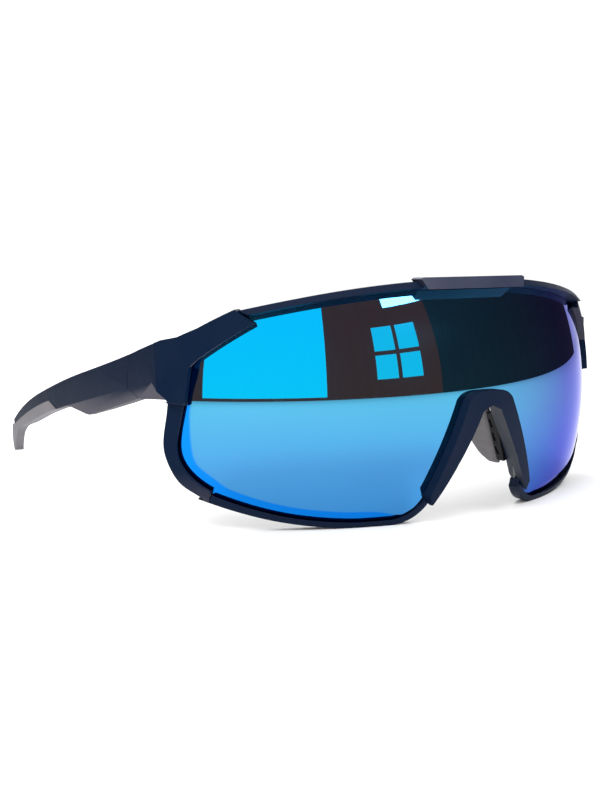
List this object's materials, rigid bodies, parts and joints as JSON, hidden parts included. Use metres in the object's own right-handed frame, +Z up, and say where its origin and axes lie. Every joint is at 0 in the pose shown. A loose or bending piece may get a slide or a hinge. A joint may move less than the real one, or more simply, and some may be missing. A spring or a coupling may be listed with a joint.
{
  "type": "wraparound sport sunglasses",
  "caption": "Wraparound shield sunglasses with a mirrored one-piece lens, open-bottom sport frame, nose pads and folding temples with rubber tips.",
  "frame": {"origin": "on the surface it stands on, under the middle of the overall length and width", "axes": "X across the face with the wearer's right side at -X, +Y from the lens back along the temples, +Z up"},
  "size_m": [0.1454, 0.1936, 0.0604],
  "materials": {
    "lens_mirror": "blue mirror coat",
    "frame": "satin navy",
    "frame_trim": "satin navy",
    "rubber_grey": "soft matte",
    "carrier_black": "matte",
    "hinge_metal": "satin"
  },
  "bodies": {
    "front": {"lens": "lens_mirror", "brow_bar": "frame", "brow_cap": "frame_trim", "nose_frame": "frame", "side_frame_right": "frame", "side_frame_left": "frame", "lower_rim_right": "frame", "lower_rim_left": "frame", "nose_pad_right": "rubber_grey", "nose_pad_left": "rubber_grey", "nose_pad_carrier_right": "carrier_black", "nose_pad_carrier_left": "carrier_black", "hinge_front_leaf_right": "hinge_metal", "hinge_front_leaf_left": "hinge_metal", "hinge_screw_right": "hinge_metal", "hinge_screw_left": "hinge_metal"},
    "arm_right": {"temple_right": "frame", "temple_tip_right": "rubber_grey", "hinge_rear_leaf_right": "hinge_metal"},
    "arm_left": {"temple_left": "frame", "temple_tip_left": "rubber_grey", "hinge_rear_leaf_left": "hinge_metal"}
  },
  "joints": [
    {"name": "right_temple_hinge", "type": "hinge", "parent": "front", "child": "arm_right", "pos_m": [-0.0671, -0.03755, 0.037], "axis": [0, 0, -1], "range_deg": [0, 88]},
    {"name": "left_temple_hinge", "type": "hinge", "parent": "front", "child": "arm_left", "pos_m": [0.0671, -0.03755, 0.037], "axis": [0, 0, 1], "range_deg": [0, 79]}
  ]
}
